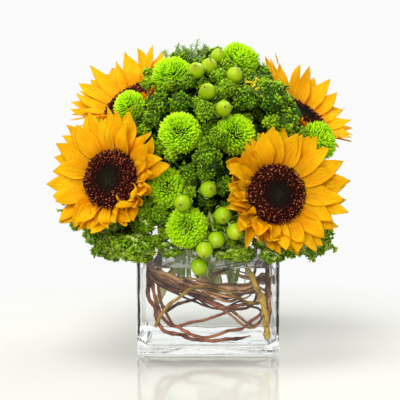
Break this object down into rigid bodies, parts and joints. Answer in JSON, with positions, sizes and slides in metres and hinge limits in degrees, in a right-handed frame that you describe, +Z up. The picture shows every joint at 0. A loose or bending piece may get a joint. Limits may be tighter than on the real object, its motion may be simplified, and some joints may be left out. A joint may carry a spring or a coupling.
{
  "type": "sunflower bouquet in a glass vase",
  "caption": "Dome of sunflowers, green button chrysanthemums, hypericum berries and budded greens in a square clear glass vase with water and coiled curly willow.",
  "frame": {"origin": "middle of the vase's flat foot", "axes": "+Z up, -Y towards the viewer of the picture, +X to that viewer's right"},
  "size_m": [0.2801, 0.2214, 0.2816],
  "materials": {
    "glass": "clear pressed glass, gloss",
    "water": "clear water, still",
    "red_bark": "wet reddish-brown bark, satin",
    "gold_bark": "wet olive-gold bark, satin",
    "rays": "golden yellow petals, matt",
    "disc": "near-black brown florets, matt",
    "sunflower_stem": "green stem and bracts, downy matt",
    "mum_stem": "green stem, matt",
    "mum": "lime-green petals, matt",
    "berry": "waxy yellow-green berries, satin",
    "greens": "bright green buds and leaflets, matt"
  },
  "bodies": {
    "root": {"greens_1": "greens", "greens_10": "greens", "greens_11": "greens", "greens_2": "greens", "greens_3": "greens", "greens_4": "greens", "greens_5": "greens", "greens_6": "greens", "greens_7": "greens", "greens_8": "greens", "greens_9": "greens", "hypericum_1": "berry", "hypericum_2": "berry", "hypericum_3": "berry", "hypericum_4": "berry", "hypericum_5": "berry", "hypericum_6": "berry", "mum_1": "mum", "mum_10": "mum", "mum_11": "mum", "mum_12": "mum", "mum_2": "mum", "mum_3": "mum", "mum_4": "mum", "mum_5": "mum", "mum_6": "mum", "mum_7": "mum", "mum_8": "mum", "mum_9": "mum", "mum_stem_1": "mum_stem", "mum_stem_2": "mum_stem", "mum_stem_3": "mum_stem", "mum_stem_4": "mum_stem", "mum_stem_5": "mum_stem", "mum_stem_6": "mum_stem", "sunflower_1_disc": "disc", "sunflower_1_rays": "rays", "sunflower_1_stem": "sunflower_stem", "sunflower_2_disc": "disc", "sunflower_2_rays": "rays", "sunflower_2_stem": "sunflower_stem", "sunflower_3_disc": "disc", "sunflower_3_rays": "rays", "sunflower_3_stem": "sunflower_stem", "sunflower_4_disc": "disc", "sunflower_4_rays": "rays", "sunflower_4_stem": "sunflower_stem", "vase": "glass", "water": "water", "willow_brown_right": "red_bark", "willow_gold_left": "gold_bark", "willow_gold_right": "gold_bark", "willow_low_brown": "red_bark", "willow_low_red": "red_bark", "willow_lower": "red_bark", "willow_middle": "red_bark", "willow_shoot_band": "red_bark", "willow_shoot_looped": "red_bark", "willow_shoot_low": "red_bark", "willow_upper": "red_bark"}
  },
  "joints": []
}
